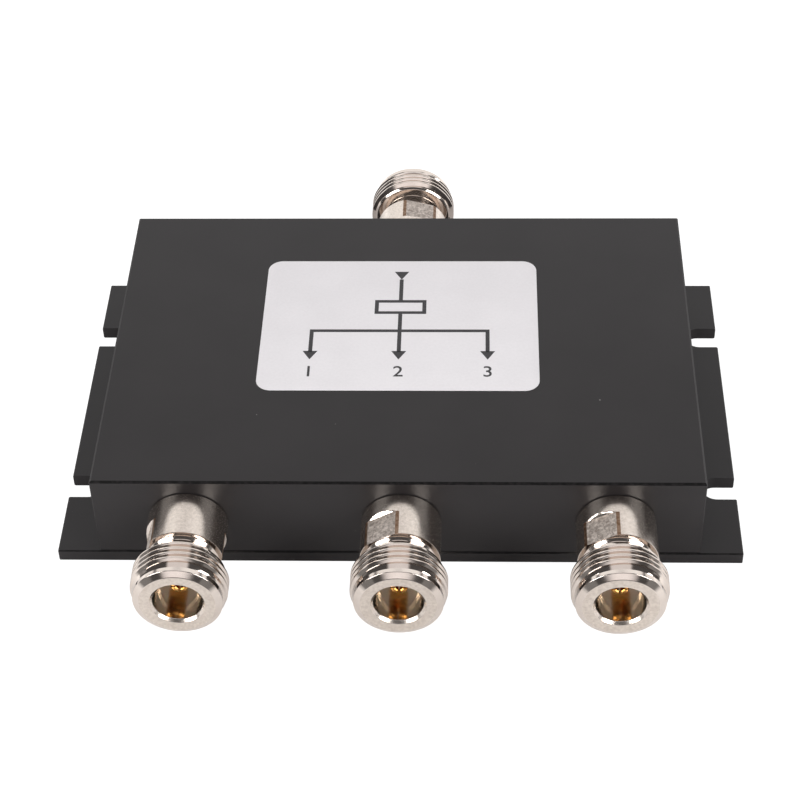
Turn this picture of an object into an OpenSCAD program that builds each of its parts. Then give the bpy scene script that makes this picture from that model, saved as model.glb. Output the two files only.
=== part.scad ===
// Three-way coaxial power splitter: a milled aluminium housing on a flanged base plate,
// one threaded coaxial jack at the back and three at the front.
// Millimetres. X runs along the length, Y points to the input side, Z is up,
// and the origin is the middle of the base plate's underside.

/* [Housing] */
// Length of the housing along X
housing_w = 101.2; // [96:0.1:130]
// Depth of the housing from the output side to the input side
housing_d = 70.6; // [66:0.1:100]
// Height of the housing above the base plate
housing_h = 16.5; // [15.5:0.1:24]
// Thickness of the roof above the cavity
roof_t = 3; // [2:0.1:3.6]
// Thickness of the left and right walls
side_wall_t = 4; // [3:0.1:6]
// Thickness of the walls that carry the jacks
end_wall_t = 5; // [4.5:0.1:6]
// Radius that the milling cutter leaves in the corners of the cavity
cavity_r = 2; // [1:0.1:3]
// Width of the solid corner blocks that take the base plate's corner screws
corner_block = 9; // [8:0.1:10]
// Width of the broken edges round the housing's top and foot
edge_break = 0.35; // [0.1:0.05:0.8]
// Width of the broken upright edges of the housing
upright_break = 0.15; // [0.05:0.05:0.8]

/* [Base plate] */
// Thickness of the base plate
base_t = 2.4; // [2.2:0.1:4]
// How far each flange stands out past the housing
flange_w = 7.25; // [5:0.05:12]
// Width of the open fixing slots
slot_w = 5.2; // [4.2:0.1:6.5]
// Depth of the fixing slots, measured in from the flange's edge
slot_l = 5.9; // [5:0.1:7]
// Distance between the middles of the two slots on one side
slot_span = 39.7; // [25:0.1:48]
// Width of the broken edges on the base plate
plate_break = 0.2; // [0.05:0.05:0.5]

/* [Base plate screws] */
// Thread diameter of the countersunk screws
screw_d = 2.5; // [2:0.1:3]
// Head diameter of the countersunk screws
screw_head_d = 4.7; // [4:0.1:5.6]
// Overall length of the countersunk screws
screw_l = 8; // [6:0.5:12]
// How far the screw heads lie below the base plate's underside
screw_sink = 0.1; // [0.05:0.05:0.3]
// Across flats of the hexagon socket in the heads
screw_socket = 1.5; // [1.2:0.1:2]
// Distance of the corner screws from the housing's faces
corner_inset = 4.5; // [4:0.1:5]

/* [Jack positions] */
// Distance between neighbouring output jacks
jack_pitch = 35.5; // [30:0.1:36]
// How far the row of jacks sits to the right of the housing's middle
jack_shift = 0.6; // [-1:0.1:1]
// Height of the jacks' axes above the base plate
jack_rise = 7.35; // [7:0.05:8]
// Turn of the wrench flats on the input jack, in degrees
flats_turn_in = 75; // [0:1:180]
// Turn of the wrench flats on the left output jack
flats_turn_1 = 163; // [0:1:180]
// Turn of the wrench flats on the middle output jack
flats_turn_2 = 120; // [0:1:180]
// Turn of the wrench flats on the right output jack
flats_turn_3 = 118; // [0:1:180]

/* [Jack body] */
// Diameter of the screwed tail that goes through the wall
tail_d = 11.1; // [10.4:0.1:12]
// Diameter of the round neck
neck_d = 13.3; // [12.6:0.1:14.5]
// Length of the neck in front of the wall
neck_l = 8.85; // [6:0.05:12]
// Distance across the two wrench flats
flats_w = 12; // [11:0.1:12.5]
// Length of the round part of the neck behind the wrench flats
flats_from = 3.4; // [2:0.1:5]
// Diameter of the groove between the neck and the thread
groove_d = 10.9; // [10:0.1:11.6]
// Length of the groove
groove_l = 2.75; // [1.5:0.05:4]
// Outer diameter of the coupling thread
thread_d = 15.875; // [15:0.005:17]
// Length of the threaded head from the groove to the front face
head_l = 6.85; // [6.5:0.05:9]
// Lead-in chamfer at the rear of the thread, along the axis
rear_chamfer = 0.45; // [0.2:0.05:1]
// Length of the plain collar in front of the thread
collar_l = 0.5; // [0.2:0.05:1]
// Diameter of the plain collar, at the thread's root
collar_d = 14.6; // [13.8:0.05:15]
// Outer diameter of the flat front face
face_d = 12.5; // [11:0.1:13.6]
// Length of the chamfer from the collar to the front face
face_chamfer = 0.75; // [0.3:0.05:1]

/* [Jack inside] */
// Diameter of the bore that the plug's sleeve enters
bore_d = 8.1; // [7.8:0.05:8.8]
// Depth of that bore, from the front face to the reference plane
bore_l = 9; // [8.5:0.1:9.2]
// Width of the chamfer at the bore's mouth
mouth_break = 0.5; // [0.1:0.05:0.7]
// Inner diameter of the lip that holds the bead behind the reference plane
line_d = 7; // [6.4:0.1:7.4]
// Length of that lip along the axis
lip_l = 0.55; // [0.3:0.05:1]
// Diameter of the insulating bead
bead_d = 8; // [7.6:0.1:8.6]
// Diameter of the contact where it passes through the bead
pin_d = 2.4; // [2:0.1:2.7]
// Outer diameter of the slotted contact
contact_d = 3.04; // [2.9:0.02:3.4]
// How far the contact's tip lies behind the front face
tip_recess = 3.8; // [3:0.1:5]
// Diameter of the hole in the contact that takes the plug's pin
contact_bore_d = 1.65; // [1.4:0.05:1.9]
// Depth of that hole
contact_bore_l = 5; // [4:0.1:6]
// Width of the slots that make the contact springy
contact_slot_w = 0.3; // [0.15:0.05:0.5]
// Length of those slots
contact_slot_l = 3.6; // [2:0.1:4.5]
// Rounding of the contact's tip, across the radius
tip_break = 0.22; // [0.1:0.02:0.4]
// Diameter of the solder tail
solder_d = 1.3; // [1:0.1:1.6]
// Length of the solder tail behind the wall
solder_l = 3.2; // [2.5:0.1:5]

/* [Circuit] */
// Thickness of the circuit board
board_t = 1.5; // [0.8:0.1:2]
// Gap between the circuit board's edge and the cavity's walls
board_gap = 0.5; // [0.3:0.1:1]
// Thickness of the copper lines
copper_t = 0.1; // [0.05:0.05:0.2]
// Width of the lines at the four ports
port_line_w = 2.8; // [1.5:0.1:4]
// Width of the three branch lines
branch_w = 1.6; // [0.8:0.1:2.2]
// Distance from the board's edge to the end of each port line
line_inset = 0.5; // [0.2:0.1:1.2]
// Length of the input line from the board's edge to the split
input_line_l = 17.5; // [14:0.5:20]
// Distance between the rows of the middle branch's folds
fold_step = 4; // [3:0.1:4.5]
// Length of the three output lines from the board's edge
output_line_l = 11; // [10.5:0.1:13]
// Length of the isolation resistors
resistor_l = 6.4; // [5:0.1:8]
// Width of the isolation resistors
resistor_w = 3.2; // [2:0.1:3.6]
// Thickness of the isolation resistors
resistor_t = 0.7; // [0.5:0.05:1]
// How far each end of a resistor lies on its copper line
resistor_lap = 1.4; // [0.8:0.1:2]

/* [Board screws] */
// Diameter of the posts that the board hangs from
post_d = 6; // [5:0.1:7]
// Thread diameter of the board screws
board_screw_d = 2.5; // [2:0.1:3]
// Head diameter of the board screws
board_head_d = 4.5; // [4:0.1:5]
// Head height of the board screws
board_head_h = 1.6; // [1.2:0.1:2]
// Distance of the board screws from the board's front and back edges
board_screw_inset = 5; // [4:0.1:5.5]

/* [Label] */
// Width of the label
label_w = 48.8; // [30:0.1:80]
// Depth of the label
label_d = 35; // [20:0.1:50]
// Thickness of the label
label_t = 0.15; // [0.1:0.05:0.4]
// Corner radius of the label
label_r = 2.6; // [1:0.1:5]
// Position of the label's middle along X
label_x = -0.55; // [-8:0.05:8]
// Position of the label's middle along Y
label_y = 4.55; // [-8:0.05:8]

/* [Clearances] */
// Gap round the jacks' tails in the wall
tail_gap = 0.05; // [0.02:0.01:0.1]
// Gap round the beads and the contacts
bead_gap = 0.03; // [0.01:0.01:0.06]
// Gap round a screw in its threaded hole
thread_gap = 0.05; // [0.02:0.01:0.1]
// Gap round a screw in its clearance hole
screw_gap = 0.15; // [0.1:0.01:0.3]
// Free depth below the tip of a screw
tip_gap = 0.5; // [0.3:0.1:1]

/* [Hidden] */
$fn = 64;
eps = 0.5;
housing_top = base_t + housing_h;
plate_w = housing_w + 2 * flange_w;
jack_z = base_t + jack_rise;
output_x = [for (i = [-1:1]) jack_shift + i * jack_pitch];
// Stations along a jack's axis, measured outwards from the wall
tail_end = -end_wall_t;
groove_end = neck_l + groove_l;
face_at = groove_end + head_l;
chamfer_at = face_at - face_chamfer;
thread_end = chamfer_at - collar_l;
plane_at = face_at - bore_l;
bead_front = plane_at - lip_l;
tip_at = face_at - tip_recess;
// The board hangs just above the solder tails, its copper side down
copper_z = jack_z + solder_d / 2;
board_z = copper_z + copper_t;
post_z = board_z + board_t;
post_h = housing_top - roof_t - post_z;
board_w = housing_w - 2 * corner_block - 2 * board_gap;
board_d = housing_d - 2 * end_wall_t - 2 * board_gap;
split_y = board_d / 2 - input_line_l;
output_line_y = -board_d / 2 + output_line_l;
fold_reach = jack_pitch / 6;
board_screw_at = [for (i = [-0.5, 0.5], s = [-1, 1])
    [jack_shift + i * jack_pitch, s * (board_d / 2 - board_screw_inset)]];
corner_screw_at = [for (sx = [-1, 1], sy = [-1, 1])
    [sx * (housing_w / 2 - corner_inset), sy * (housing_d / 2 - corner_inset)]];
wall_screw_at = [for (i = [-0.5, 0.5], sy = [-1, 1])
    [jack_shift + i * jack_pitch, sy * (housing_d - end_wall_t) / 2]];
plate_screw_at = concat(corner_screw_at, wall_screw_at);
screw_head_h = (screw_head_d - screw_d) / 2;

// Rectangle with its corners broken by a small bevel
module bevelled_rect(w, d, c) {
    polygon([[c - w / 2, -d / 2], [w / 2 - c, -d / 2], [w / 2, c - d / 2], [w / 2, d / 2 - c],
        [w / 2 - c, d / 2], [c - w / 2, d / 2], [-w / 2, d / 2 - c], [-w / 2, c - d / 2]]);
}

// Block standing on z = 0 with its level edges broken by c and its upright edges by u
module broken_block(w, d, h, c, u) {
    intersection() {
        linear_extrude(h) bevelled_rect(w, d, u);
        translate([0, d / 2, h / 2]) rotate([90, 0, 0]) linear_extrude(d) bevelled_rect(w, h, c);
        translate([-w / 2, 0, h / 2]) rotate([90, 0, 90]) linear_extrude(w) bevelled_rect(d, h, c);
    }
}

// Rectangle with round corners
module round_rect(w, d, r) {
    square([w - 2 * r, d], center = true);
    square([w, d - 2 * r], center = true);
    for (sx = [-1, 1], sy = [-1, 1]) {
        translate([sx * (w / 2 - r), sy * (d / 2 - r)]) circle(r);
    }
}

// Straight copper line of one width from point a to point b, with round ends
module line(a, b, w) {
    run = norm(b - a);
    translate(a) rotate(atan2(b[1] - a[1], b[0] - a[0])) translate([0, -w / 2]) square([run, w]);
    translate(a) circle(w / 2);
    translate(b) circle(w / 2);
}

// Copper line through a list of points
module path(points, w) {
    for (i = [0 : len(points) - 2]) line(points[i], points[i + 1], w);
}

// Puts a jack's parts at x on the wall: side -1 is the output wall and side 1 the input wall
module on_wall(x, side) {
    translate([x, side * housing_d / 2, jack_z]) rotate([-90 * side, 0, 0]) children();
}

module housing() {
    color("#383738") difference() {
        union() {
            difference() {
                translate([0, 0, base_t]) broken_block(housing_w, housing_d, housing_h, edge_break, upright_break);
                translate([0, 0, base_t - eps]) linear_extrude(housing_h - roof_t + eps) {
                    round_rect(housing_w - 2 * side_wall_t, housing_d - 2 * corner_block, cavity_r);
                    round_rect(housing_w - 2 * corner_block, housing_d - 2 * end_wall_t, cavity_r);
                }
            }
            for (p = board_screw_at) {
                translate([p[0], p[1], post_z]) cylinder(d = post_d, h = post_h + eps);
            }
        }
        for (x = output_x) {
            on_wall(x, -1) translate([0, 0, tail_end - eps])
                cylinder(d = tail_d + 2 * tail_gap, h = end_wall_t + 2 * eps);
        }
        on_wall(jack_shift, 1) translate([0, 0, tail_end - eps])
            cylinder(d = tail_d + 2 * tail_gap, h = end_wall_t + 2 * eps);
        for (p = plate_screw_at) {
            translate([p[0], p[1], base_t - eps])
                cylinder(d = screw_d + 2 * thread_gap, h = screw_sink + screw_l - base_t + tip_gap + eps);
        }
        for (p = board_screw_at) {
            translate([p[0], p[1], post_z - eps])
                cylinder(d = board_screw_d + 2 * thread_gap, h = post_h + tip_gap + eps);
        }
    }
}

module base_plate() {
    color("#343334") difference() {
        broken_block(plate_w, housing_d, base_t, plate_break, plate_break);
        for (sx = [-1, 1], sy = [-1, 1]) {
            translate([sx * (plate_w / 2 - slot_l + slot_w / 2), sy * slot_span / 2, -eps])
                rotate(sx > 0 ? 0 : 180) {
                    cylinder(d = slot_w, h = base_t + 2 * eps);
                    translate([0, -slot_w / 2, 0]) cube([slot_l, slot_w, base_t + 2 * eps]);
                }
        }
        for (p = plate_screw_at) {
            translate([p[0], p[1], -eps]) {
                cylinder(d = screw_d + 2 * screw_gap, h = base_t + 2 * eps);
                cylinder(d = screw_head_d + 2 * screw_gap, h = screw_sink + eps);
                translate([0, 0, screw_sink + eps]) cylinder(h = screw_head_h,
                    d1 = screw_head_d + 2 * screw_gap, d2 = screw_d + 2 * screw_gap);
            }
        }
    }
}

module base_plate_screws() {
    color("#8a8c8f") for (p = plate_screw_at) {
        translate([p[0], p[1], screw_sink]) difference() {
            union() {
                cylinder(d1 = screw_head_d, d2 = screw_d, h = screw_head_h);
                cylinder(d = screw_d, h = screw_l);
            }
            translate([0, 0, -eps]) cylinder(d = screw_socket / cos(30), h = screw_head_h + eps, $fn = 6);
        }
    }
}

module label() {
    color("#e4e3e4") translate([label_x, label_y, housing_top])
        linear_extrude(label_t) round_rect(label_w, label_d, label_r);
}

// Turned jack body: screwed tail, neck with two wrench flats, groove, threaded head and stepped bore
module jack_body(turn) {
    color("#b9b6ae") difference() {
        rotate_extrude() polygon([
            [bead_d / 2, tail_end], [tail_d / 2, tail_end], [tail_d / 2, 0], [neck_d / 2, 0],
            [neck_d / 2, neck_l], [groove_d / 2, neck_l], [groove_d / 2, groove_end],
            [thread_d / 2 - rear_chamfer, groove_end], [thread_d / 2, groove_end + rear_chamfer],
            [thread_d / 2, thread_end], [collar_d / 2, thread_end], [collar_d / 2, chamfer_at],
            [face_d / 2, face_at], [bore_d / 2 + mouth_break, face_at],
            [bore_d / 2, face_at - mouth_break], [bore_d / 2, plane_at], [line_d / 2, plane_at],
            [line_d / 2, bead_front], [bead_d / 2, bead_front]]);
        for (s = [0, 180]) {
            rotate(turn + s) translate([flats_w / 2, -neck_d, flats_from])
                cube([neck_d, 2 * neck_d, neck_l - flats_from]);
        }
    }
}

module bead() {
    color("#efece4") rotate_extrude() polygon([
        [pin_d / 2 + bead_gap, tail_end], [bead_d / 2 - bead_gap, tail_end],
        [bead_d / 2 - bead_gap, bead_front], [pin_d / 2 + bead_gap, bead_front]]);
}

// Slotted female contact with its shoulder on the bead and its solder tail behind it
module contact() {
    color("#c9a24a") difference() {
        rotate_extrude() polygon([
            [0, tail_end - solder_l], [solder_d / 2, tail_end - solder_l], [solder_d / 2, tail_end],
            [pin_d / 2, tail_end], [pin_d / 2, bead_front], [contact_d / 2, bead_front],
            [contact_d / 2, tip_at - 2 * tip_break], [contact_d / 2 - tip_break, tip_at],
            [contact_bore_d / 2, tip_at], [contact_bore_d / 2, tip_at - contact_bore_l],
            [0, tip_at - contact_bore_l - contact_bore_d / 4]]);
        for (a = [0, 90]) {
            rotate(a) translate([-contact_d, -contact_slot_w / 2, tip_at - contact_slot_l])
                cube([2 * contact_d, contact_slot_w, contact_slot_l + eps]);
        }
    }
}

module input_jack() { on_wall(jack_shift, 1) jack_body(-flats_turn_in); }
module input_insulator() { on_wall(jack_shift, 1) bead(); }
module input_contact() { on_wall(jack_shift, 1) contact(); }
module output_jack_1() { on_wall(output_x[0], -1) jack_body(flats_turn_1); }
module output_insulator_1() { on_wall(output_x[0], -1) bead(); }
module output_contact_1() { on_wall(output_x[0], -1) contact(); }
module output_jack_2() { on_wall(output_x[1], -1) jack_body(flats_turn_2); }
module output_insulator_2() { on_wall(output_x[1], -1) bead(); }
module output_contact_2() { on_wall(output_x[1], -1) contact(); }
module output_jack_3() { on_wall(output_x[2], -1) jack_body(flats_turn_3); }
module output_insulator_3() { on_wall(output_x[2], -1) bead(); }
module output_contact_3() { on_wall(output_x[2], -1) contact(); }

module circuit_board() {
    color("#3f6b4a") difference() {
        translate([0, 0, board_z]) linear_extrude(board_t) round_rect(board_w, board_d, cavity_r);
        for (p = board_screw_at) {
            translate([p[0], p[1], board_z - eps])
                cylinder(d = board_screw_d + 2 * screw_gap, h = board_t + 2 * eps);
        }
    }
}

// One input line that splits into three branches of equal length, the middle one folded
module microstrip_lines() {
    back = board_d / 2 - line_inset - port_line_w / 2;
    front = -back;
    row = function(i) split_y - i * fold_step;
    color("#b87345") translate([0, 0, copper_z]) linear_extrude(copper_t) {
        line([jack_shift, back], [jack_shift, split_y], port_line_w);
        for (i = [0, 2]) {
            path([[jack_shift, split_y], [output_x[i], split_y], [output_x[i], output_line_y]], branch_w);
        }
        path([[jack_shift, split_y], [jack_shift, row(1)],
            [jack_shift - fold_reach, row(1)], [jack_shift - fold_reach, row(2)],
            [jack_shift + fold_reach, row(2)], [jack_shift + fold_reach, row(3)],
            [jack_shift - fold_reach, row(3)], [jack_shift - fold_reach, row(4)],
            [jack_shift, row(4)], [jack_shift, output_line_y]], branch_w);
        for (x = output_x) line([x, output_line_y], [x, front], port_line_w);
        for (i = [0, 1]) {
            mid = (output_x[i] + output_x[i + 1]) / 2;
            reach = resistor_l / 2 - resistor_lap;
            for (s = [-1, 1]) {
                translate([s < 0 ? output_x[i] : mid + reach, output_line_y - branch_w / 2])
                    square([jack_pitch / 2 - reach, branch_w]);
            }
        }
    }
}

module isolation_resistors() {
    color("#26282b") for (i = [0, 1]) {
        translate([(output_x[i] + output_x[i + 1]) / 2, output_line_y, copper_z - resistor_t])
            broken_block(resistor_l, resistor_w, resistor_t, resistor_t / 8, resistor_t / 8);
    }
}

module board_screws() {
    color("#8a8c8f") for (p = board_screw_at) {
        translate([p[0], p[1], board_z]) {
            difference() {
                translate([0, 0, -board_head_h]) cylinder(d = board_head_d, h = board_head_h);
                translate([0, 0, -board_head_h - eps])
                    cylinder(d = screw_socket / cos(30), h = board_head_h / 2 + eps, $fn = 6);
            }
            cylinder(d = board_screw_d, h = board_t + post_h);
        }
    }
}

housing();
base_plate();
base_plate_screws();
label();
input_jack();
input_insulator();
input_contact();
output_jack_1();
output_insulator_1();
output_contact_1();
output_jack_2();
output_insulator_2();
output_contact_2();
output_jack_3();
output_insulator_3();
output_contact_3();
circuit_board();
microstrip_lines();
isolation_resistors();
board_screws();
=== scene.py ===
"""Three-way coaxial power splitter: satin black housing, flanged base plate, four nickel jacks."""
import math

import bmesh
import bpy
from mathutils import Matrix, Vector


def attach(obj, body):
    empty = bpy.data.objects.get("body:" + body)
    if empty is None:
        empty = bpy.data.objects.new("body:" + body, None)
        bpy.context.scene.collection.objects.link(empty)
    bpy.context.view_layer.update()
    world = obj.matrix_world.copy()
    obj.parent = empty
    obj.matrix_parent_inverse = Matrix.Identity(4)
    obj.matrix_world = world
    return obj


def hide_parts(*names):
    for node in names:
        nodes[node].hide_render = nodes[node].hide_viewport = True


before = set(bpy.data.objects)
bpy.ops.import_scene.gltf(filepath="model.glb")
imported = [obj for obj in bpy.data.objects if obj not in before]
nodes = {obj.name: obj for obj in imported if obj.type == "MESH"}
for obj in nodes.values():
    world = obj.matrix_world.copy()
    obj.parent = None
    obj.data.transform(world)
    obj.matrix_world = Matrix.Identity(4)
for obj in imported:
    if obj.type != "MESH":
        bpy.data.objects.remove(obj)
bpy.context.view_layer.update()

MM = 0.001

# Sizes of the part, in millimetres
HOUSING_D = 70.6
HOUSING_TOP = 18.9
JACK_Z = 9.75
JACK_PITCH = 35.5
JACK_SHIFT = 0.6
END_WALL = 5.0

# Stations of a jack along its axis, measured outwards from the wall
TAIL_END = -END_WALL
BEAD_FRONT = 8.9
FLATS_FROM = 3.4
NECK_END = 8.85
GROOVE_END = 11.6
THREAD_FULL = 12.05
THREAD_END = 17.2
CHAMFER_AT = 17.85
FACE_AT = 18.45
PLANE_AT = 9.45
TIP_AT = 14.65

# Radii of a jack
TAIL_R = 5.55
NECK_R = 6.65
FLATS_R = 6.0
DEBURR_R, DEBURR_TURN = 6.525, math.radians(18)
STEP_BREAK, STEP_SLOPE = 0.42, 1.19
GROOVE_R = 5.45
THREAD_R = 7.9375
THREAD_ROOT_R = 7.29
COLLAR_R = 7.3
FACE_R = 6.25
BORE_R = 4.05
MOUTH_BREAK = 0.5
LINE_R = 3.5
BEAD_R = 4.0
PIN_R = 1.2
CONTACT_R = 1.52
CONTACT_BORE_R = 0.825
SOLDER_R = 0.65

# Thread: 24 turns to the inch; its rib is sunk a little into the root cylinder
THREAD_PITCH = 25.4 / 24
THREAD_CREST = THREAD_PITCH * 0.28
RIB_SUNK, RIB_FOOT, CREST_EASE = 0.12, 0.07, 0.03
RIB_FROM, RIB_TO = GROOVE_END + 0.42, THREAD_END + 0.1
RUN_OUT_AT, RUN_OUT_SLOPE = THREAD_END - 0.15, 0.45

# Small edges of a jack: rounding, undercut at the wall, groove corner and thread lead-in
EDGE_ROUND = 0.09
UNDERCUT, UNDERCUT_L = 0.3, 0.13
GROOVE_CORNER = 0.45
LEAD_IN = 0.35

# Contact: solder tail, fingers and the slots between them
SOLDER_TAIL = 3.2
FINGER_L = 3.6
HOLE_L, HOLE_POINT = 5.0, 0.4
HALF_SLOT = 0.15
TIP_HOLE_R = 0.62
BEAD_GAP = 0.03

RING_STEPS = 120
FINE_STEPS = 64
FINGER_STEPS = 14


def linear(hex_colour):
    """sRGB hex colour as linear red, green, blue and alpha."""
    channels = [int(hex_colour[i:i + 2], 16) / 255 for i in (1, 3, 5)]
    return [c / 12.92 if c <= 0.04045 else ((c + 0.055) / 1.055) ** 2.4 for c in channels] + [1.0]


def add(tree, kind, settings=None, links=None):
    """Adds one shader node: settings name its attributes, colour stops or sockets, links its inputs."""
    made = tree.nodes.new(kind)
    for key, value in (settings or {}).items():
        if key == "stops":
            bar = made.color_ramp.elements
            for at, colour in value[2:]:
                bar.new(at)
            for element, (at, colour) in zip(bar, value):
                element.position, element.color = at, linear(colour)
        elif isinstance(key, str) and hasattr(made, key):
            setattr(made, key, value)
        else:
            made.inputs[key].default_value = value
    for key, source in (links or {}).items():
        tree.links.new(source.outputs[0] if hasattr(source, "outputs") else source, made.inputs[key])
    return made


def new_material(name):
    """Empty node material with object coordinates in millimetres."""
    made = bpy.data.materials.new(name)
    made.use_nodes = True
    tree = made.node_tree
    tree.nodes.clear()
    place = add(tree, "ShaderNodeTexCoord")
    millimetres = add(tree, "ShaderNodeVectorMath", {"operation": "SCALE", "Scale": 1 / MM},
                      {"Vector": place.outputs["Object"]})
    return made, tree, millimetres


def satin_black_paint():
    """Baked black paint on milled aluminium: an even satin coat with a faint orange peel, a slightly
    cloudy gloss, light dust specks caught in it, and painted shade: a ragged black line along the
    long broken edges, standing in for the dark reflection they show."""
    made, tree, at = new_material("satin_black_paint")
    cloud = add(tree, "ShaderNodeTexNoise", {"Scale": 1 / 14, "Detail": 3.0}, {"Vector": at})
    grit = add(tree, "ShaderNodeTexNoise", {"Scale": 1 / 0.28, "Detail": 2.0}, {"Vector": at})
    peel = add(tree, "ShaderNodeTexNoise", {"Scale": 1 / 0.7, "Detail": 2.0}, {"Vector": at})
    # Specks: one cell every 3.4 mm, of which about one in four holds a speck up to 0.3 mm across
    cells = add(tree, "ShaderNodeTexVoronoi", {"Scale": 1 / 3.4}, {"Vector": at})
    far = add(tree, "ShaderNodeMath", {"operation": "MULTIPLY", 1: 3.4}, {0: cells.outputs["Distance"]})
    pick = add(tree, "ShaderNodeSeparateColor", None, {"Color": cells.outputs["Color"]})
    size = add(tree, "ShaderNodeMapRange",
               {"From Min": 0.75, "From Max": 1.0, "To Min": 0.02, "To Max": 0.15}, {"Value": pick})
    speck = add(tree, "ShaderNodeMath", {"operation": "LESS_THAN"}, {0: far, 1: size})
    base = add(tree, "ShaderNodeValToRGB", {"stops": [(0.3, "#201d1e"), (0.7, "#252223")]}, {"Fac": cloud})
    # Painted shade: a ragged black line along the broken edges that run along X, standing in for the dark reflection
    # they show
    facing = add(tree, "ShaderNodeSeparateXYZ", None,
                 {"Vector": add(tree, "ShaderNodeNewGeometry").outputs["True Normal"]})
    slant = add(tree, "ShaderNodeMath", {"operation": "MULTIPLY"}, {0: facing.outputs["Y"], 1: facing.outputs["Z"]})
    edge = add(tree, "ShaderNodeMapRange",
               {"From Min": 0.2, "From Max": 0.45, "To Min": 0.0, "To Max": 1.0},
               {"Value": add(tree, "ShaderNodeMath", {"operation": "ABSOLUTE"}, {0: slant})})
    painted_edge_shade_mask = add(tree, "ShaderNodeMath", {"operation": "MULTIPLY"},
                 {0: edge, 1: add(tree, "ShaderNodeMapRange",
                                  {"From Min": 0.35, "From Max": 0.55, "To Min": 0.35, "To Max": 1.0},
                                  {"Value": peel})})
    # Painted shade: the paint's colour goes near black on those edges
    painted_edge_shade = add(tree, "ShaderNodeMix", {"data_type": "RGBA", 7: linear("#060505")}, {"Factor": painted_edge_shade_mask, 6: base})
    coat = add(tree, "ShaderNodeMix", {"data_type": "RGBA", 7: linear("#7d7a78")},
               {"Factor": speck, 6: painted_edge_shade.outputs[2]})
    gloss = add(tree, "ShaderNodeMapRange",
                {"From Min": 0.3, "From Max": 0.7, "To Min": 0.29, "To Max": 0.35}, {"Value": grit})
    # Duller at a low viewing angle, which real paint isn't, so that the soft boxes don't whiten the top there
    low = add(tree, "ShaderNodeMapRange", {"From Min": 0.45, "From Max": 0.75, "To Min": 0.0, "To Max": 0.4},
              {"Value": add(tree, "ShaderNodeLayerWeight").outputs["Facing"]})
    sheen = add(tree, "ShaderNodeMath", {"operation": "ADD"}, {0: gloss, 1: low})
    bump = add(tree, "ShaderNodeBump", {"Strength": 0.25, "Distance": 0.02 * MM}, {"Height": peel})
    shader = add(tree, "ShaderNodeBsdfPrincipled", {"IOR": 1.42},
                 {"Base Color": coat.outputs[2], "Roughness": sheen, "Normal": bump})
    add(tree, "ShaderNodeOutputMaterial", None, {"Surface": shader})
    return made


def turned_nickel(name, tints, gloss, line_mm, line_depth, mottle_mm):
    """Nickel plate over turned brass: warm grey metal with fine rings that the lathe tool left
    along the jack's axis, and slight clouding of the plate."""
    made, tree, at = new_material(name)
    stretched = add(tree, "ShaderNodeMapping", {"Scale": (0.02, 1.0, 0.02)}, {"Vector": at})
    rings = add(tree, "ShaderNodeTexNoise", {"Scale": 1 / line_mm, "Detail": 3.0}, {"Vector": stretched})
    cloud = add(tree, "ShaderNodeTexNoise", {"Scale": 1 / mottle_mm, "Detail": 4.0}, {"Vector": at})
    grain = add(tree, "ShaderNodeTexNoise", {"Scale": 1 / 0.12, "Detail": 2.0}, {"Vector": at})
    tone = add(tree, "ShaderNodeValToRGB", {"stops": [(0.3, tints[0]), (0.7, tints[1])]}, {"Fac": cloud})
    spread = add(tree, "ShaderNodeMapRange",
                 {"From Min": 0.3, "From Max": 0.7, "To Min": gloss[0], "To Max": gloss[1]}, {"Value": grain})
    bump = add(tree, "ShaderNodeBump", {"Strength": line_depth, "Distance": 0.01 * MM}, {"Height": rings})
    shader = add(tree, "ShaderNodeBsdfPrincipled", {"Metallic": 1.0},
                 {"Base Color": tone, "Roughness": spread, "Normal": bump})
    add(tree, "ShaderNodeOutputMaterial", None, {"Surface": shader})
    return made


def milled_nickel():
    """Nickel plate over a milled flat: uneven cutter marks that glint and darken in patches."""
    made, tree, at = new_material("milled_nickel")
    marks = add(tree, "ShaderNodeTexNoise", {"Scale": 1 / 0.6, "Detail": 4.0, "Distortion": 0.8}, {"Vector": at})
    fine = add(tree, "ShaderNodeTexNoise", {"Scale": 1 / 0.15, "Detail": 2.0}, {"Vector": at})
    tone = add(tree, "ShaderNodeValToRGB", {"stops": [(0.35, "#b3a89f"), (0.65, "#efe7e0")]}, {"Fac": marks})
    spread = add(tree, "ShaderNodeMapRange",
                 {"From Min": 0.3, "From Max": 0.7, "To Min": 0.62, "To Max": 0.85}, {"Value": fine})
    bump = add(tree, "ShaderNodeBump", {"Strength": 1.0, "Distance": 0.07 * MM}, {"Height": marks})
    shader = add(tree, "ShaderNodeBsdfPrincipled", {"Metallic": 1.0},
                 {"Base Color": tone, "Roughness": spread, "Normal": bump})
    add(tree, "ShaderNodeOutputMaterial", None, {"Surface": shader})
    return made


def worn_brass_edge():
    """Painted reflection on the deburred edges of a milled flat: dull brown metal with grey patches,
    standing in for the dark, brownish reflection that edge shows.
    """
    made, tree, at = new_material("worn_brass_edge")
    patch = add(tree, "ShaderNodeTexNoise", {"Scale": 1 / 0.5, "Detail": 4.0}, {"Vector": at})
    tone = add(tree, "ShaderNodeValToRGB", {"stops": [(0.35, "#7d5f49"), (0.7, "#b29a86")]}, {"Fac": patch})
    spread = add(tree, "ShaderNodeMapRange",
                 {"From Min": 0.3, "From Max": 0.7, "To Min": 0.4, "To Max": 0.6}, {"Value": patch})
    shader = add(tree, "ShaderNodeBsdfPrincipled", {"Metallic": 1.0}, {"Base Color": tone, "Roughness": spread})
    add(tree, "ShaderNodeOutputMaterial", None, {"Surface": shader})
    return made


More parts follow.
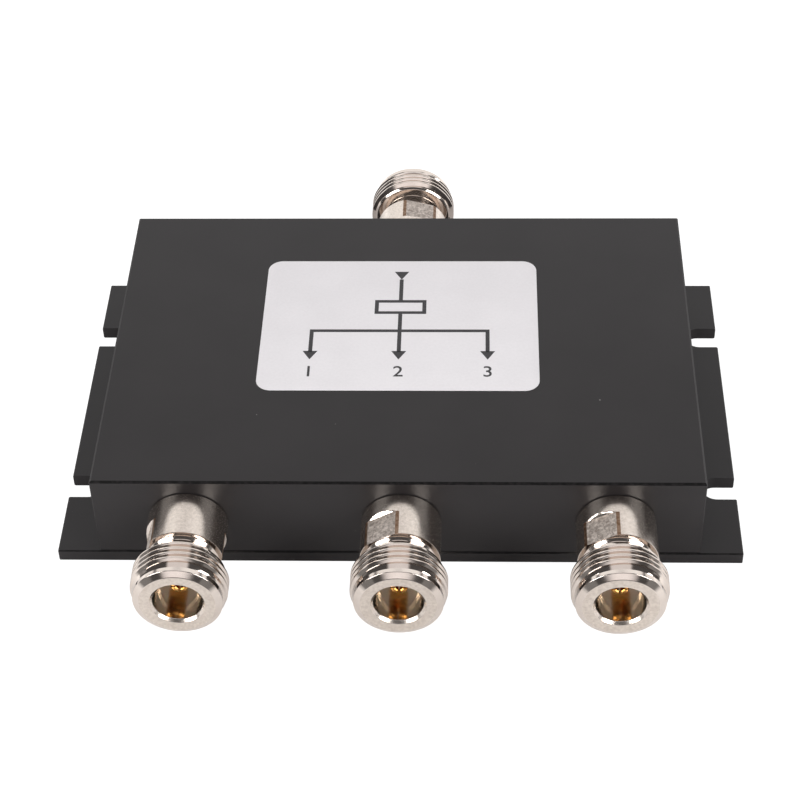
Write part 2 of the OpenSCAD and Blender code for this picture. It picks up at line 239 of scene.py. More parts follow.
def gold_plate():
    """Gold plate over sprung bronze: a bright warm metal with faint turning lines."""
    made, tree, at = new_material("gold_plate")
    stretched = add(tree, "ShaderNodeMapping", {"Scale": (0.05, 1.0, 0.05)}, {"Vector": at})
    rings = add(tree, "ShaderNodeTexNoise", {"Scale": 1 / 0.12, "Detail": 2.0}, {"Vector": stretched})
    cloud = add(tree, "ShaderNodeTexNoise", {"Scale": 1 / 0.9, "Detail": 3.0}, {"Vector": at})
    tone = add(tree, "ShaderNodeValToRGB", {"stops": [(0.3, "#f0a850"), (0.7, "#fcc478")]}, {"Fac": cloud})
    spread = add(tree, "ShaderNodeMapRange",
                 {"From Min": 0.3, "From Max": 0.7, "To Min": 0.2, "To Max": 0.3}, {"Value": cloud})
    bump = add(tree, "ShaderNodeBump", {"Strength": 0.3, "Distance": 0.01 * MM}, {"Height": rings})
    shader = add(tree, "ShaderNodeBsdfPrincipled", {"Metallic": 1.0},
                 {"Base Color": tone, "Roughness": spread, "Normal": bump})
    add(tree, "ShaderNodeOutputMaterial", None, {"Surface": shader})
    return made


def turned_fluoroplastic():
    """White fluoroplastic, turned: waxy and slightly see-through, with faint tool marks."""
    made, tree, at = new_material("turned_fluoroplastic")
    marks = add(tree, "ShaderNodeTexNoise", {"Scale": 1 / 0.2, "Detail": 2.0}, {"Vector": at})
    cloud = add(tree, "ShaderNodeTexNoise", {"Scale": 1 / 1.5, "Detail": 2.0}, {"Vector": at})
    tone = add(tree, "ShaderNodeValToRGB", {"stops": [(0.3, "#e9e6dd"), (0.7, "#f3f1ea")]}, {"Fac": cloud})
    bump = add(tree, "ShaderNodeBump", {"Strength": 0.2, "Distance": 0.01 * MM}, {"Height": marks})
    shader = add(tree, "ShaderNodeBsdfPrincipled",
                 {"IOR": 1.35, "Roughness": 0.42, "Subsurface Weight": 0.15, "Subsurface Scale": 0.6 * MM},
                 {"Base Color": tone, "Normal": bump})
    add(tree, "ShaderNodeOutputMaterial", None, {"Surface": shader})
    return made


def label_film():
    """White polyester film, satin: even pale grey with a very fine mottle."""
    made, tree, at = new_material("label_film")
    mottle = add(tree, "ShaderNodeTexNoise", {"Scale": 1 / 0.5, "Detail": 3.0}, {"Vector": at})
    cloud = add(tree, "ShaderNodeTexNoise", {"Scale": 1 / 9, "Detail": 2.0}, {"Vector": at})
    mixed = add(tree, "ShaderNodeMix", {"data_type": "FLOAT", "Factor": 0.5}, {2: mottle, 3: cloud})
    tone = add(tree, "ShaderNodeValToRGB", {"stops": [(0.35, "#ebe9eb"), (0.65, "#f1eff1")]}, {"Fac": mixed})
    bump = add(tree, "ShaderNodeBump", {"Strength": 0.15, "Distance": 0.01 * MM}, {"Height": mottle})
    shader = add(tree, "ShaderNodeBsdfPrincipled", {"IOR": 1.5, "Roughness": 0.5},
                 {"Base Color": tone, "Normal": bump})
    add(tree, "ShaderNodeOutputMaterial", None, {"Surface": shader})
    return made


def printed_ink():
    """Dark grey thermal-transfer ink on film: matt, with slight loss in the film's grain."""
    made, tree, at = new_material("printed_ink")
    grain = add(tree, "ShaderNodeTexNoise", {"Scale": 1 / 0.25, "Detail": 2.0}, {"Vector": at})
    tone = add(tree, "ShaderNodeValToRGB", {"stops": [(0.35, "#323133"), (0.75, "#464547")]}, {"Fac": grain})
    shader = add(tree, "ShaderNodeBsdfPrincipled", {"IOR": 1.5, "Roughness": 0.6}, {"Base Color": tone})
    add(tree, "ShaderNodeOutputMaterial", None, {"Surface": shader})
    return made


def zinc_plated_steel():
    """Zinc plated steel: pale bluish grey with a dull, slightly grainy shine."""
    made, tree, at = new_material("zinc_plated_steel")
    grain = add(tree, "ShaderNodeTexNoise", {"Scale": 1 / 0.3, "Detail": 3.0}, {"Vector": at})
    tone = add(tree, "ShaderNodeValToRGB", {"stops": [(0.3, "#9fa3a8"), (0.7, "#bcc0c4")]}, {"Fac": grain})
    spread = add(tree, "ShaderNodeMapRange",
                 {"From Min": 0.3, "From Max": 0.7, "To Min": 0.28, "To Max": 0.42}, {"Value": grain})
    bump = add(tree, "ShaderNodeBump", {"Strength": 0.3, "Distance": 0.01 * MM}, {"Height": grain})
    shader = add(tree, "ShaderNodeBsdfPrincipled", {"Metallic": 1.0},
                 {"Base Color": tone, "Roughness": spread, "Normal": bump})
    add(tree, "ShaderNodeOutputMaterial", None, {"Surface": shader})
    return made


def woven_glass_board():
    """Glass-fibre board under green mask: the weave's crossing threads show faintly, 0.5 mm apart."""
    made, tree, at = new_material("woven_glass_board")
    weft = add(tree, "ShaderNodeTexWave", {"bands_direction": "X", "Scale": 1 / 3.2}, {"Vector": at})
    warp = add(tree, "ShaderNodeTexWave", {"bands_direction": "Y", "Scale": 1 / 3.2}, {"Vector": at})
    weave = add(tree, "ShaderNodeMath", {"operation": "MULTIPLY"},
                {0: weft.outputs["Fac"], 1: warp.outputs["Fac"]})
    tone = add(tree, "ShaderNodeValToRGB", {"stops": [(0.0, "#2f5a3c"), (1.0, "#4a7a56")]}, {"Fac": weave})
    bump = add(tree, "ShaderNodeBump", {"Strength": 0.2, "Distance": 0.02 * MM}, {"Height": weave})
    shader = add(tree, "ShaderNodeBsdfPrincipled", {"IOR": 1.55, "Roughness": 0.35},
                 {"Base Color": tone, "Normal": bump})
    add(tree, "ShaderNodeOutputMaterial", None, {"Surface": shader})
    return made


def etched_copper():
    """Bare copper foil, etched: pinkish metal, matt from the etch, with browner tarnish patches."""
    made, tree, at = new_material("etched_copper")
    cloud = add(tree, "ShaderNodeTexNoise", {"Scale": 1 / 3, "Detail": 4.0}, {"Vector": at})
    tone = add(tree, "ShaderNodeValToRGB", {"stops": [(0.3, "#b5683f"), (0.7, "#d58c62")]}, {"Fac": cloud})
    spread = add(tree, "ShaderNodeMapRange",
                 {"From Min": 0.3, "From Max": 0.7, "To Min": 0.3, "To Max": 0.45}, {"Value": cloud})
    shader = add(tree, "ShaderNodeBsdfPrincipled", {"Metallic": 1.0}, {"Base Color": tone, "Roughness": spread})
    add(tree, "ShaderNodeOutputMaterial", None, {"Surface": shader})
    return made


def coated_chip():
    """Chip resistor's black glaze: glossy, slightly uneven."""
    made, tree, at = new_material("coated_chip")
    cloud = add(tree, "ShaderNodeTexNoise", {"Scale": 1 / 0.8, "Detail": 3.0}, {"Vector": at})
    tone = add(tree, "ShaderNodeValToRGB", {"stops": [(0.3, "#1d1f22"), (0.7, "#2b2d31")]}, {"Fac": cloud})
    spread = add(tree, "ShaderNodeMapRange",
                 {"From Min": 0.3, "From Max": 0.7, "To Min": 0.25, "To Max": 0.4}, {"Value": cloud})
    shader = add(tree, "ShaderNodeBsdfPrincipled", {"IOR": 1.5}, {"Base Color": tone, "Roughness": spread})
    add(tree, "ShaderNodeOutputMaterial", None, {"Surface": shader})
    return made


PAINT = satin_black_paint()
NECK_NICKEL = turned_nickel("satin_turned_nickel", tints=("#dfd3c8", "#f0e5db"), gloss=(0.20, 0.28),
                            line_mm=0.11, line_depth=0.3, mottle_mm=0.5)
BRIGHT_NICKEL = turned_nickel("bright_turned_nickel", tints=("#e2d6cc", "#ece1d8"), gloss=(0.08, 0.13),
                              line_mm=0.14, line_depth=0.12, mottle_mm=2.5)
BORE_NICKEL = turned_nickel("bored_nickel", tints=("#e6dcd0", "#f0e7dc"), gloss=(0.12, 0.18),
                            line_mm=0.12, line_depth=0.35, mottle_mm=2.5)
FACE_NICKEL = turned_nickel("faced_nickel", tints=("#dacec3", "#f0e5da"), gloss=(0.28, 0.36),
                            line_mm=0.10, line_depth=0.2, mottle_mm=0.45)
FLAT_NICKEL = milled_nickel()
GOLD = gold_plate()
BEAD = turned_fluoroplastic()
FILM = label_film()
INK = printed_ink()
STEEL = zinc_plated_steel()
# The last finish is a painted reflection, used on the deburred edges of the flats
JACK_FINISHES = [NECK_NICKEL, BRIGHT_NICKEL, FACE_NICKEL, FLAT_NICKEL, BORE_NICKEL, worn_brass_edge()]
SATIN, BRIGHT, FACED, MILLED, BORED, EDGE_REFLECTION_PAINTED = range(6)


def on_wall(x, side):
    """Matrix from a jack's own frame (axis +Z, millimetres) to its place on the wall (metres)."""
    place = Matrix.Translation(Vector((x, side * HOUSING_D / 2, JACK_Z)) * MM)
    return place @ Matrix.Rotation(math.radians(-90 * side), 4, "X") @ Matrix.Scale(MM, 4)


def piece(name, bm, materials, matrix, body="root", sharp_deg=28):
    """Turns a bmesh in the piece's own frame into a smooth shaded object that rides on a body."""
    bmesh.ops.remove_doubles(bm, verts=bm.verts, dist=1e-5)
    bmesh.ops.dissolve_degenerate(bm, edges=bm.edges, dist=1e-5)
    bmesh.ops.recalc_face_normals(bm, faces=bm.faces)
    mesh = bpy.data.meshes.new(name)
    bm.to_mesh(mesh)
    bm.free()
    mesh.transform(matrix)
    for material in materials:
        mesh.materials.append(material)
    mesh.polygons.foreach_set("use_smooth", [True] * len(mesh.polygons))
    mesh.set_sharp_from_angle(angle=math.radians(sharp_deg))
    made = bpy.data.objects.new(name, mesh)
    bpy.context.scene.collection.objects.link(made)
    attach(made, body)
    return made


def eased(profile, reach, steps=4):
    """Rounds the corners of a closed profile of (radius, station, finish) points."""
    out = []
    count = len(profile)
    for i, (r, a, kind) in enumerate(profile):
        corner = Vector((r, a))
        before = Vector(profile[i - 1][:2]) - corner
        after = Vector(profile[(i + 1) % count][:2]) - corner
        cut_in = min(reach, before.length * 0.4)
        cut_out = min(reach, after.length * 0.4)
        start = corner + before.normalized() * cut_in
        end = corner + after.normalized() * cut_out
        arc = [start * (1 - t) ** 2 + corner * 2 * t * (1 - t) + end * t ** 2
               for t in (s / steps for s in range(steps + 1))]
        # A close ring beside each end of the arc keeps the next stretch flat under smooth shading
        arc = [start + before.normalized() * 0.01] + arc + [end + after.normalized() * 0.01]
        for s, p in enumerate(arc):
            out.append((p.x, p.y, profile[i - 1][2] if s < len(arc) / 2 else kind))
    return out


def spin(bm, profile, angles, radius_at=None, finish_at=None):
    """Revolves a closed profile about the axis; radius_at may cut flats into it."""
    rings = []
    for r, a, kind in profile:
        ring = []
        for angle in angles:
            here = radius_at(r, a, angle) if radius_at else r
            ring.append(bm.verts.new((here * math.cos(angle), here * math.sin(angle), a)))
        rings.append(ring)
    steps = len(angles)
    for i, ring in enumerate(rings):
        ahead = rings[(i + 1) % len(rings)]
        r, a, kind = profile[i]
        for j in range(steps):
            k = (j + 1) % steps
            face = bm.faces.new((ring[j], ring[k], ahead[k], ahead[j]))
            face.material_index = finish_at(i, 0.5 * (angles[j] + angles[k] + (math.tau if k == 0 else 0))) \
                if finish_at else kind


def cone_limit(station):
    """Largest radius that the chamfer behind and the run-out in front leave to the thread."""
    rear = THREAD_R - (THREAD_FULL - station)
    front = COLLAR_R + (RUN_OUT_AT - station) * RUN_OUT_SLOPE
    return min(THREAD_R, rear, front)


def thread_rib(bm, kind):
    """Right-handed 60 degree thread as one helical rib that sits on the root cylinder."""
    flank = (THREAD_R - THREAD_ROOT_R) * math.tan(math.radians(30))
    sunk_r = THREAD_ROOT_R - RIB_SUNK
    half = THREAD_CREST / 2
    front_half = [(half - CREST_EASE, THREAD_R), (half + CREST_EASE, THREAD_R - CREST_EASE),
                  (half + flank, THREAD_ROOT_R), (half + flank + RIB_FOOT, sunk_r)]
    section = [(-offset, r) for offset, r in reversed(front_half)] + front_half
    turns = (RIB_TO - RIB_FROM) / THREAD_PITCH
    steps = round(turns * RING_STEPS)
    fade = RING_STEPS / 5
    rows = []
    for i in range(steps + 1):
        top = sunk_r + (THREAD_R - sunk_r) * min(1, i / fade, (steps - i) / fade)
        angle = math.tau * turns * i / steps
        station = RIB_FROM + (RIB_TO - RIB_FROM) * i / steps
        row = []
        for offset, r in section:
            a = station + offset
            here = max(sunk_r - 0.01, min(r, top, cone_limit(a)))
            row.append(bm.verts.new((here * math.cos(angle), here * math.sin(angle), a)))
        rows.append(row)
    width = len(section)
    for i in range(steps):
        for j in range(width):
            k = (j + 1) % width
            bm.faces.new((rows[i][j], rows[i][k], rows[i + 1][k], rows[i + 1][j])).material_index = kind
    bm.faces.new(rows[0]).material_index = kind
    bm.faces.new(rows[-1][::-1]).material_index = kind


def jack_body(name, x, side, turn_deg):
    """Turned jack with screwed tail, neck with two wrench flats, groove, thread and stepped bore."""
    turn = math.radians(turn_deg * -side)
    # Angles from a flat's middle at which its deburred edge starts and ends
    inner = math.atan((DEBURR_R / FLATS_R - math.cos(DEBURR_TURN)) / math.sin(DEBURR_TURN))
    outer = DEBURR_TURN + math.acos(DEBURR_R / NECK_R)
    angles = {round(math.tau * i / RING_STEPS, 9) for i in range(RING_STEPS)}
    for base in (turn, turn + math.pi):
        for shift in (-outer, -inner, inner, outer):
            angles.add(round((base + shift) % math.tau, 9))
    angles = sorted(angles)
    outline = [
        (BEAD_R, TAIL_END, SATIN), (TAIL_R, TAIL_END, SATIN), (TAIL_R, 0.0, SATIN),
        (NECK_R - UNDERCUT, 0.0, SATIN), (NECK_R - UNDERCUT, UNDERCUT_L, SATIN), (NECK_R, UNDERCUT_L, SATIN),
        (NECK_R, NECK_END, BRIGHT), (GROOVE_R + GROOVE_CORNER, NECK_END, BRIGHT),
        (GROOVE_R, NECK_END + GROOVE_CORNER, BRIGHT), (GROOVE_R, GROOVE_END, BRIGHT),
        (THREAD_ROOT_R - LEAD_IN, GROOVE_END, BRIGHT), (THREAD_ROOT_R, GROOVE_END + LEAD_IN, BRIGHT),
        (THREAD_ROOT_R, CHAMFER_AT, BRIGHT), (FACE_R, FACE_AT, FACED),
        (BORE_R + MOUTH_BREAK, FACE_AT, SATIN), (BORE_R, FACE_AT - MOUTH_BREAK, BORED),
        (BORE_R, PLANE_AT, BORED), (LINE_R, PLANE_AT, BORED), (LINE_R, BEAD_FRONT, BORED),
        (BEAD_R, BEAD_FRONT, BORED)]
    profile = eased(outline, EDGE_ROUND)
    step_at = next(i for i, p in enumerate(profile) if p[1] > FLATS_FROM)
    step_foot = FLATS_FROM + STEP_BREAK
    # Close rings before and after the bevelled step keep the neck and the flat even under smooth shading
    stations = [FLATS_FROM - 0.02] + [FLATS_FROM + STEP_BREAK * i / 4 for i in range(5)] + [step_foot + 0.0005]
    profile[step_at:step_at] = [(NECK_R, station, SATIN) for station in stations]

    def away_from_flat(angle):
        """Angle to the middle of the nearer flat."""
        return abs((angle - turn + math.pi / 2) % math.pi - math.pi / 2)

    def flat_reach(angle):
        """Radius of the flat and of its deburred edges."""
        away = away_from_flat(angle)
        return min(FLATS_R / max(math.cos(away), 1e-6), DEBURR_R / max(math.cos(away - DEBURR_TURN), 1e-6))

    def step_reach(a, angle):
        """Radius of the bevelled step at the flat's end."""
        return (NECK_R - STEP_SLOPE * (a - FLATS_FROM)) / max(math.cos(away_from_flat(angle)), 1e-6)

    def radius_at(r, a, angle):
        if r <= FLATS_R or not FLATS_FROM < a <= NECK_END + 1e-6:
            return r
        if a <= step_foot:
            return min(r, step_reach(a, angle))
        return min(r, flat_reach(angle))

    def finish_at(i, angle):
        r, a, kind = profile[i]
        ahead = profile[(i + 1) % len(profile)]
        if kind != SATIN or a < FLATS_FROM or ahead[1] > NECK_END or flat_reach(angle) > NECK_R - 1e-6:
            return kind
        if ahead[1] <= step_foot:
            return BRIGHT if step_reach(ahead[1], angle) < NECK_R else kind
        # The deburred edges get the painted reflection finish, the flat itself the milled one
        return EDGE_REFLECTION_PAINTED if away_from_flat(angle) > inner else MILLED

    bm = bmesh.new()
    spin(bm, profile, angles, radius_at, finish_at)
    thread_rib(bm, BRIGHT)
    return piece(name, bm, JACK_FINISHES, on_wall(x, side))


def contact(name, x, side):
    """Slotted female contact: shaft with a solder tail and four sprung fingers round the pin's hole."""
    bm = bmesh.new()
    finger_from = TIP_AT - FINGER_L
    tail_from = TAIL_END - SOLDER_TAIL
    hole_end = TIP_AT - HOLE_L
    ring = [math.tau * i / FINE_STEPS for i in range(FINE_STEPS)]
    shaft = [(0.001, tail_from, 0), (SOLDER_R, tail_from, 0), (SOLDER_R, TAIL_END, 0), (PIN_R, TAIL_END, 0),
             (PIN_R, BEAD_FRONT, 0), (CONTACT_R, BEAD_FRONT, 0), (CONTACT_R, finger_from, 0),
             (CONTACT_BORE_R, finger_from, 0), (CONTACT_BORE_R, hole_end, 0), (0.001, hole_end - HOLE_POINT, 0)]
    spin(bm, eased(shaft, 0.05, 3), ring)
    # The fingers close in at the tip, with a round outer edge and a small funnel for the pin
    finger = [(CONTACT_R, finger_from - 0.02), (CONTACT_R, TIP_AT - 0.5), (CONTACT_R - 0.03, TIP_AT - 0.3),
              (CONTACT_R - 0.1, TIP_AT - 0.12), (CONTACT_R - 0.24, TIP_AT), (TIP_HOLE_R + 0.18, TIP_AT),
              (TIP_HOLE_R, TIP_AT - 0.16), (TIP_HOLE_R, TIP_AT - 0.5), (CONTACT_BORE_R, TIP_AT - 1.2),
              (CONTACT_BORE_R, finger_from - 0.02)]
    for quarter in range(4):
        rows = []
        for i in range(FINGER_STEPS + 1):
            row = []
            for r, a in finger:
                edge = math.asin(HALF_SLOT / r)
                angle = quarter * math.pi / 2 + edge + (math.pi / 2 - 2 * edge) * i / FINGER_STEPS
                row.append(bm.verts.new((r * math.cos(angle), r * math.sin(angle), a)))
            rows.append(row)
        count = len(finger)
        for i in range(FINGER_STEPS):
            for j in range(count):
                k = (j + 1) % count
                bm.faces.new((rows[i][j], rows[i][k], rows[i + 1][k], rows[i + 1][j]))
        bm.faces.new(rows[0])
        bm.faces.new(rows[-1][::-1])
    return piece(name, bm, [GOLD], on_wall(x, side))


def bead(name, x, side):
    """Turned bead that holds the contact in the jack."""
    bm = bmesh.new()
    inner, outer = PIN_R + BEAD_GAP, BEAD_R - BEAD_GAP
    outline = [(inner, TAIL_END, 0), (outer, TAIL_END, 0), (outer, BEAD_FRONT, 0), (inner, BEAD_FRONT, 0)]
    spin(bm, eased(outline, 0.12), [math.tau * i / FINE_STEPS for i in range(FINE_STEPS)])
    return piece(name, bm, [BEAD], on_wall(x, side))


# The four jacks: name pattern, place along X, wall (-1 output, 1 input) and turn of the flats
JACKS = [("input_{}", JACK_SHIFT, 1, 75.0), ("output_{}_1", JACK_SHIFT - JACK_PITCH, -1, 163.0),
         ("output_{}_2", JACK_SHIFT, -1, 120.0), ("output_{}_3", JACK_SHIFT + JACK_PITCH, -1, 118.0)]
for pattern, x, side, turn in JACKS:
    for kind, made in (("jack", jack_body(pattern.format("jack") + "_turned", x, side, turn)),
                       ("contact", contact(pattern.format("contact") + "_slotted", x, side)),
                       ("insulator", bead(pattern.format("insulator") + "_bead", x, side))):
        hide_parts(pattern.format(kind))

# Label: film with round corners, its print a hair above it
LABEL_W, LABEL_D, LABEL_R = 48.8, 35.0, 2.6
LABEL_AT = Vector((-0.55, 4.55, HOUSING_TOP))
FILM_T, INK_T = 0.13, 0.02
PORT_SPOTS = (-15.5, 0.0, 15.5)
NUMBER_Y, NUMBER_H = -14.0, 2.8


def label_sheet():
    """Film cut with round corners and a slightly eased edge."""
    bm = bmesh.new()
    steps = 16
    rows = []
    for inset, z in ((0.0, 0.0), (0.0, FILM_T * 0.6), (0.02, FILM_T * 0.9), (0.06, FILM_T)):
        row = []
        for q in range(4):
            cx = (LABEL_W / 2 - LABEL_R) * (1 if q in (0, 3) else -1)
            cy = (LABEL_D / 2 - LABEL_R) * (1 if q in (0, 1) else -1)
            for s in range(steps + 1):
                angle = math.pi / 2 * (q + s / steps)
                r = LABEL_R - inset
                row.append(bm.verts.new((cx + r * math.cos(angle), cy + r * math.sin(angle), z)))
        rows.append(row)
    count = len(rows[0])
    for low, high in zip(rows, rows[1:]):
        for j in range(count):
            k = (j + 1) % count
            bm.faces.new((low[j], low[k], high[k], high[j]))
    bm.faces.new(rows[-1])
    bm.faces.new(rows[0][::-1])
    return piece("label_sheet", bm, [FILM], Matrix.Translation(LABEL_AT * MM) @ Matrix.Scale(MM, 4))


film = label_sheet()
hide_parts("label")


def ink_block(bm, outline):
    """Prism of ink on the film from a flat outline in millimetres."""
    low = [bm.verts.new((x, y, FILM_T)) for x, y in outline]
    high = [bm.verts.new((x, y, FILM_T + INK_T)) for x, y in outline]
    bm.faces.new(high)
    bm.faces.new(low[::-1])
    for j in range(len(outline)):
        k = (j + 1) % len(outline)
        bm.faces.new((low[j], low[k], high[k], high[j]))


def bar(bm, x0, y0, x1, y1):
    """Straight line of ink between two corners."""
    ink_block(bm, [(x0, y0), (x1, y0), (x1, y1), (x0, y1)])


def port_marks():
    """Generic print: one line that splits into three, one branch for each port; the numbers are printed apart."""
    bm = bmesh.new()
    line = 0.35
    head = 1.3
    ink_block(bm, [(-head, 14.4), (0.0, 12.2), (head, 14.4)])
    bar(bm, -line, 6.4, line, 12.2)
    bar(bm, -4.6, 2.6, 4.6, 3.3)
    bar(bm, -4.6, 5.7, 4.6, 6.4)
    bar(bm, -4.6, 3.3, -3.9, 5.7)
    bar(bm, 3.9, 3.3, 4.6, 5.7)
    for spot in PORT_SPOTS:
        bar(bm, spot - line, -7.6, spot + line, -2.35 if spot else 2.6)
        ink_block(bm, [(spot - head, -7.4), (spot, -9.6), (spot + head, -7.4)])
    bar(bm, PORT_SPOTS[0] - line, -2.35, -line, -1.65)
    bar(bm, line, -2.35, PORT_SPOTS[2] + line, -1.65)
    made = piece("label_port_marks", bm, [INK], Matrix.Translation(LABEL_AT * MM) @ Matrix.Scale(MM, 4))
    return made


def port_number(digit, x, y, height):
    """One plain number of a port, printed on the film."""
    curve = bpy.data.curves.new("port_number", "FONT")
    curve.body = str(digit)
    curve.align_x = "CENTER"
    curve.size = height / 0.73
    curve.offset = 0.02
    curve.extrude = INK_T / 2
    holder = bpy.data.objects.new("port_number_outline", curve)
    bpy.context.scene.collection.objects.link(holder)
    bpy.context.view_layer.update()
    mesh = bpy.data.meshes.new_from_object(holder.evaluated_get(bpy.context.evaluated_depsgraph_get()))
    bpy.data.objects.remove(holder)
    bm = bmesh.new()
    bm.from_mesh(mesh)
    bpy.data.meshes.remove(mesh)
    place = LABEL_AT + Vector((x, y, FILM_T + INK_T / 2))
    made = piece(f"label_port_number_{digit}", bm, [INK], Matrix.Translation(place * MM) @ Matrix.Scale(MM, 4))


port_marks()
for digit, spot in enumerate(PORT_SPOTS, 1):
    port_number(digit, spot, NUMBER_Y, NUMBER_H)

# Finishes of the pieces that keep their CAD form
CAD_FINISHES = {"housing": PAINT, "base_plate": PAINT, "base_plate_screws": STEEL, "board_screws": STEEL,
                "circuit_board": woven_glass_board(), "microstrip_lines": etched_copper(),
                "isolation_resistors": coated_chip()}
for name, material in CAD_FINISHES.items():
    slots = nodes[name].data.materials
    slots.clear()
    slots.append(material)


# Surround seen in the metal: soft-edged panels, each from and to across, up and front (parts of a
# unit direction), then brightness: the backdrop and its wide foot, a strip overhead, a low one in front
SURROUND = 0.07
PANELS = [(-1, 0.6, 0.3, 0.74, -2, -0.3, 1.12), (-1, 0.95, -0.1, 0.3, -2, -0.1, 1.1),
          (-1, 0.38, 0.8, 2, -0.6, 0.45, 0.72), (-1, 0.42, 0.15, 0.42, 0.2, 2, 1.0)]
PANEL_SOFT = 0.06
BOX_WATTS = 60.0
BOX_SIZE, BOX_AWAY = (1.42, 1.86), 3.2
FLOOR_HALF, FLOOR_DROP = 0.5, 0.02 * MM


def studio():
    """White floor that keeps the part's shadow, two soft boxes in front, and a surround of pale panels."""
    scene = bpy.context.scene
    bm = bmesh.new()
    bmesh.ops.create_grid(bm, x_segments=1, y_segments=1, size=FLOOR_HALF)
    mesh = bpy.data.meshes.new("floor")
    bm.to_mesh(mesh)
    bm.free()
    floor = bpy.data.objects.new("floor", mesh)
    floor.location.z = -FLOOR_DROP
    scene.collection.objects.link(floor)
    paper = bpy.data.materials.new("white_paper_floor")
    paper.use_nodes = True
    tree = paper.node_tree
    tree.nodes.clear()
    lit = add(tree, "ShaderNodeBsdfDiffuse", {"Color": (0.88, 0.88, 0.88, 1)})
    shade = add(tree, "ShaderNodeBsdfDiffuse", {"Color": (0.30, 0.30, 0.30, 1)})
    glow = add(tree, "ShaderNodeEmission", {"Color": (1, 1, 1, 1), "Strength": 0.95})
    seen = add(tree, "ShaderNodeAddShader", None, {0: shade, 1: glow})
    path = add(tree, "ShaderNodeLightPath")
    # Near the part, metal sees the lit paper with its shadow; further out, the white that the camera sees
    spot = add(tree, "ShaderNodeTexCoord")
    far = add(tree, "ShaderNodeVectorMath", {"operation": "LENGTH"}, {0: spot.outputs["Object"]})
    beyond = add(tree, "ShaderNodeMapRange",
                 {"From Min": 0.06, "From Max": 0.14, "To Min": 0.1, "To Max": 1.0}, {"Value": far.outputs["Value"]})
    mirrored = add(tree, "ShaderNodeMath", {"operation": "MAXIMUM"},
                   {0: path.outputs["Is Glossy Ray"], 1: path.outputs["Is Transmission Ray"]})
    part = add(tree, "ShaderNodeMath", {"operation": "MULTIPLY"}, {0: mirrored, 1: beyond})
    shown = add(tree, "ShaderNodeMath", {"operation": "MAXIMUM"}, {0: path.outputs["Is Camera Ray"], 1: part})
    mix = add(tree, "ShaderNodeMixShader", None, {0: shown, 1: lit, 2: seen})
    # Metal sees the paper end a little in front of the jacks, with a dark room beyond it
    depth = add(tree, "ShaderNodeSeparateXYZ", None, {"Vector": spot.outputs["Object"]})
    ended = add(tree, "ShaderNodeMapRange",
                {"From Min": -0.075, "From Max": -0.09, "To Min": 0.0, "To Max": 0.85}, {"Value": depth.outputs["Y"]})
    gone = add(tree, "ShaderNodeMath", {"operation": "MULTIPLY"}, {0: mirrored, 1: ended})
    room = add(tree, "ShaderNodeBsdfDiffuse", {"Color": (0.05, 0.05, 0.05, 1)})
    whole = add(tree, "ShaderNodeMixShader", None, {0: gone, 1: mix, 2: room})
    # From below the paper is open, so that the underside can be looked at
    below = add(tree, "ShaderNodeNewGeometry").outputs["Backfacing"]
    one_sided = add(tree, "ShaderNodeMixShader", None,
                    {0: below, 1: whole, 2: add(tree, "ShaderNodeBsdfTransparent")})
    add(tree, "ShaderNodeOutputMaterial", None, {"Surface": one_sided})
    mesh.materials.append(paper)

    world = bpy.data.worlds.new("studio_surround")
    scene.world = world
    world.use_nodes = True
    tree = world.node_tree
    tree.nodes.clear()
    toward = add(tree, "ShaderNodeSeparateXYZ", None,
                 {"Vector": add(tree, "ShaderNodeTexCoord").outputs["Generated"]})
    across = add(tree, "ShaderNodeMath", {"operation": "ABSOLUTE"}, {0: toward.outputs["X"]})
    front = add(tree, "ShaderNodeMath", {"operation": "MULTIPLY", 1: -1.0}, {0: toward.outputs["Y"]})
    total = behind = None
    for across_from, across_to, up_from, up_to, front_from, front_to, bright in PANELS:
        lit = None
        for source, low, high in ((across, across_from, across_to), (toward.outputs["Z"], up_from, up_to),
                                  (front, front_from, front_to)):
            for edge, falls in ((low, False), (high, True)):
                part = add(tree, "ShaderNodeMapRange", {
                    "interpolation_type": "SMOOTHSTEP", "From Min": edge - PANEL_SOFT, "From Max": edge + PANEL_SOFT,
                    "To Min": float(falls), "To Max": float(not falls)}, {"Value": source})
                lit = part if lit is None else \
                    add(tree, "ShaderNodeMath", {"operation": "MULTIPLY"}, {0: lit, 1: part})
        if front_to < 0:
            behind = lit if behind is None else \
                add(tree, "ShaderNodeMath", {"operation": "MAXIMUM"}, {0: behind, 1: lit})
        held = {"operation": "MULTIPLY_ADD", 1: bright}
        total = add(tree, "ShaderNodeMath", held | {2: SURROUND}, {0: lit}) if total is None else \
            add(tree, "ShaderNodeMath", held, {0: lit, 2: total})
    dim = add(tree, "ShaderNodeBackground", {"Color": linear("#fffbfc")}, {"Strength": total})
    white = add(tree, "ShaderNodeBackground", {"Color": (1, 1, 1, 1), "Strength": 1.0})
    path = add(tree, "ShaderNodeLightPath")
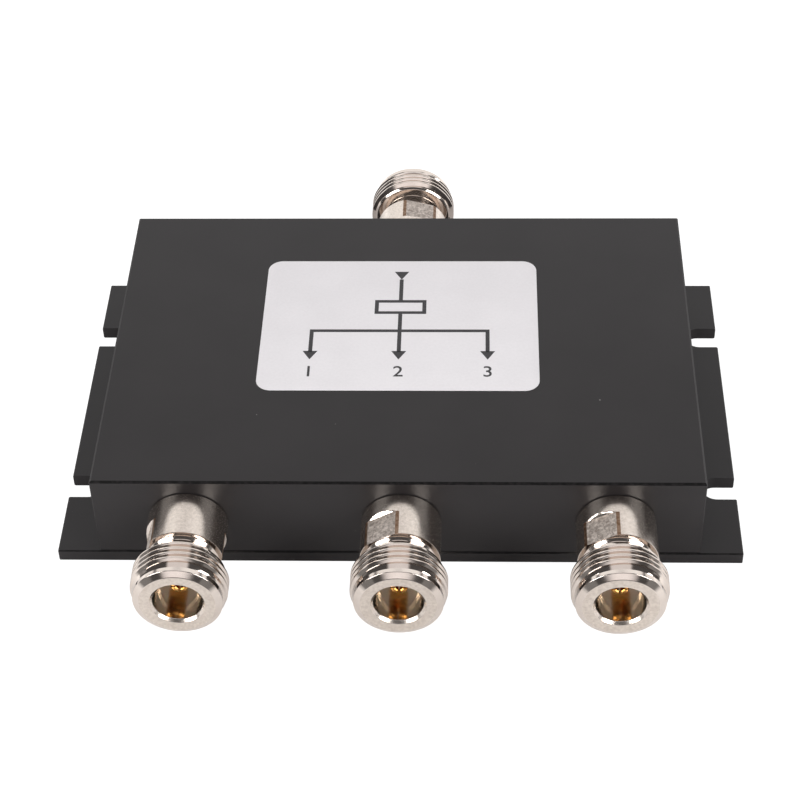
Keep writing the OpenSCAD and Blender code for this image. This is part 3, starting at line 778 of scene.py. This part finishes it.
    # Metal and glass show the white of the backdrop too
    mirrored = add(tree, "ShaderNodeMath", {"operation": "MAXIMUM"},
                   {0: path.outputs["Is Glossy Ray"], 1: path.outputs["Is Transmission Ray"]})
    shown = add(tree, "ShaderNodeMath", {"operation": "MULTIPLY_ADD", "use_clamp": True},
                {0: mirrored, 1: behind, 2: path.outputs["Is Camera Ray"]})
    both = add(tree, "ShaderNodeMixShader", None, {0: shown, 1: dim, 2: white})
    add(tree, "ShaderNodeOutputWorld", None, {"Surface": both})

    for name, hand in (("soft_box_left", -1), ("soft_box_right", 1)):
        lamp = bpy.data.lights.new(name, "AREA")
        lamp.shape = "RECTANGLE"
        lamp.size, lamp.size_y = BOX_SIZE
        lamp.energy = BOX_WATTS
        box = bpy.data.objects.new(name, lamp)
        # Each box faces the part from low in front, its top leaning in a little
        aim = Vector((hand * 0.703, -0.570, 0.427)).normalized()
        level = Vector((hand * -0.256, 0.077, 0.586)).cross(aim).normalized()
        box.matrix_world = Matrix((level, aim.cross(level), aim)).transposed().to_4x4()
        box.location = aim * BOX_AWAY
        scene.collection.objects.link(box)
    scene.view_settings.view_transform = "Standard"


studio()


CAMERA_AT = Vector((12.737, -277.862, 261.5))
CAMERA_TURN, CAMERA_DIP, CAMERA_ROLL = 2.7738, 42.7026, -1.7499
FOCAL_PIXELS, FRAME_PIXELS, SENSOR_MM = 2102.0, 800, 36.0


def camera():
    """Camera at the photograph's place: aimed by its turn, dip and roll in degrees."""
    turn, dip, roll = (math.radians(angle) for angle in (CAMERA_TURN, CAMERA_DIP, CAMERA_ROLL))
    right = Vector((math.cos(turn), math.sin(turn), 0))
    ahead = Vector((-math.sin(turn) * math.cos(dip), math.cos(turn) * math.cos(dip), -math.sin(dip)))
    up = right.cross(ahead)
    across = math.cos(roll) * right + math.sin(roll) * up
    above = -math.sin(roll) * right + math.cos(roll) * up
    data = bpy.data.cameras.new("camera")
    data.sensor_width = SENSOR_MM
    data.lens = FOCAL_PIXELS / FRAME_PIXELS * SENSOR_MM
    data.clip_start, data.clip_end = 0.01, 20.0
    made = bpy.data.objects.new("camera", data)
    made.matrix_world = Matrix((across, above, -ahead)).transposed().to_4x4()
    made.location = CAMERA_AT * MM
    bpy.context.scene.collection.objects.link(made)
    bpy.context.scene.camera = made


camera()
